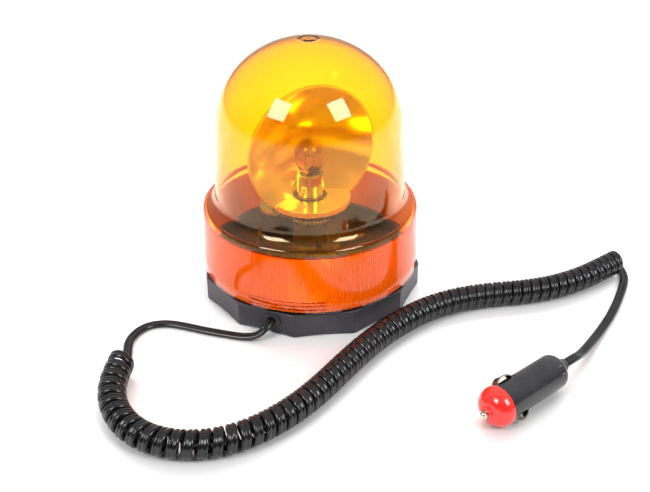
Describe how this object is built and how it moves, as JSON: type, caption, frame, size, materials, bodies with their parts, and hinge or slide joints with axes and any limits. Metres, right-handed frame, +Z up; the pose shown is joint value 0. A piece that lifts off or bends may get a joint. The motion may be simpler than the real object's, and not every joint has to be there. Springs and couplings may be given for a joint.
{
  "type": "rotating warning beacon",
  "caption": "Rotating amber warning beacon with twelve-sided magnetic base, screw-off lens, turning reflector, curly lead and lighter plug.",
  "frame": {"origin": "centre of the base on the surface that it stands on, at the rubber pad's underside", "axes": "+Z up along the reflector's turning axis, the front with the cable exit is -Y, +X to the right"},
  "size_m": [0.3164, 0.2379, 0.1554],
  "materials": {
    "black_plastic": "fine moulded texture",
    "inner_plastic": "moulded, satin",
    "black_rubber": "matt",
    "screw_steel": "zinc plated",
    "plated_steel": "zinc plated",
    "dark_steel": "black oxide",
    "ferrite": "sintered, dark grey",
    "amber_lens": "clear amber, polished",
    "white_plastic": "natural nylon",
    "brass": "turned",
    "chrome": "bright chromed",
    "solder": "soft grey",
    "clear_glass": "clear",
    "tungsten": "drawn wire",
    "red_wire": "PVC",
    "black_wire": "PVC",
    "cord_pvc": "glossy PVC",
    "plug_black": "semi-gloss moulded",
    "red_plastic": "glossy",
    "nickel": "nickel plated"
  },
  "bodies": {
    "base": {"base_housing": "black_plastic", "bottom_plate": "black_plastic", "bottom_screws": "screw_steel", "rubber_pad": "black_rubber", "magnet_cup": "plated_steel", "ring_magnet": "ferrite", "magnet_screws": "screw_steel", "lens_gasket": "black_rubber", "cable_grommet": "black_rubber", "inner_cord": "cord_pvc", "cord_clamp": "black_plastic", "chassis": "inner_plastic", "chassis_screws": "screw_steel", "motor_bracket": "plated_steel", "motor_screws": "screw_steel", "thrust_washer": "white_plastic", "motor_can": "dark_steel", "motor_end_cap": "black_plastic", "motor_terminals": "brass", "motor_magnets": "ferrite", "retaining_ring": "screw_steel", "bulb_socket": "chrome", "socket_base": "black_plastic", "socket_spring": "screw_steel", "terminal_block": "white_plastic", "feed_wire_live": "red_wire", "feed_wire_earth": "black_wire", "cord_lead": "cord_pvc", "cord_coil": "cord_pvc", "cord_tail": "cord_pvc", "plug_body_upper": "plug_black", "plug_body_lower": "plug_black", "plug_spring": "screw_steel", "plug_rear_contact": "brass", "plug_screw": "screw_steel", "plug_strain_relief": "black_rubber"},
    "rotor": {"gear_wheel": "black_plastic", "reflector": "chrome"},
    "motor_rotor": {"motor_shaft": "screw_steel", "motor_armature": "plated_steel", "pinion": "brass"},
    "lens": {"lens": "amber_lens"},
    "bulb": {"bulb_cap": "plated_steel", "bulb_contact": "solder", "bulb_glass": "clear_glass", "filament": "tungsten"},
    "socket_plunger": {"socket_contact": "brass", "contact_washer": "white_plastic"},
    "plug_cap": {"plug_nose_cap": "red_plastic"},
    "plug_pin": {"plug_pin": "nickel", "plug_fuse": "clear_glass"},
    "contact_left": {"side_contact_left": "nickel"},
    "contact_right": {"side_contact_right": "nickel"}
  },
  "joints": [
    {"name": "reflector_spin", "type": "hinge", "parent": "base", "child": "rotor", "pos_m": [0, 0, 0.055], "axis": [0, 0, 1], "continuous": true},
    {"name": "motor_spin", "type": "hinge", "parent": "base", "child": "motor_rotor", "pos_m": [-0.01934, 0.01208, 0.05], "axis": [0, 0, 1], "continuous": true},
    {"name": "lens_twist", "type": "hinge", "parent": "base", "child": "lens", "pos_m": [0, 0, 0.02], "axis": [0, 0, 1], "range_deg": [0, 60]},
    {"name": "bulb_push", "type": "slide", "parent": "base", "child": "bulb", "axis": [0, 0, -1], "range_m": [0, 0.002], "stiffness_N_per_m": 1200, "springref_m": -0.002},
    {"name": "contact_push", "type": "slide", "parent": "base", "child": "socket_plunger", "axis": [0, 0, -1], "range_m": [0, 0.002], "deforming": ["socket_spring"]},
    {"name": "nose_cap_turn", "type": "hinge", "parent": "base", "child": "plug_cap", "pos_m": [0.0835, -0.1494, 0.0108], "axis": [0.7815, 0.6239, 0], "range_deg": [0, 360]},
    {"name": "plug_pin_push", "type": "slide", "parent": "base", "child": "plug_pin", "axis": [0.7815, 0.6239, 0], "range_m": [0, 0.0025], "stiffness_N_per_m": 1500, "springref_m": -0.002, "deforming": ["plug_spring"]},
    {"name": "left_contact_press", "type": "slide", "parent": "base", "child": "contact_left", "axis": [0.4255, -0.533, -0.7314], "range_m": [0, 0.0012], "stiffness_N_per_m": 3000, "springref_m": -0.001},
    {"name": "right_contact_press", "type": "slide", "parent": "base", "child": "contact_right", "axis": [-0.4255, 0.533, 0.7314], "range_m": [0, 0.0012], "stiffness_N_per_m": 3000, "springref_m": -0.001}
  ],
  "couplings": [
    {"joint": "motor_spin", "follows": "reflector_spin", "ratio": -3.75},
    {"joint": "contact_push", "follows": "bulb_push", "ratio": 1}
  ]
}
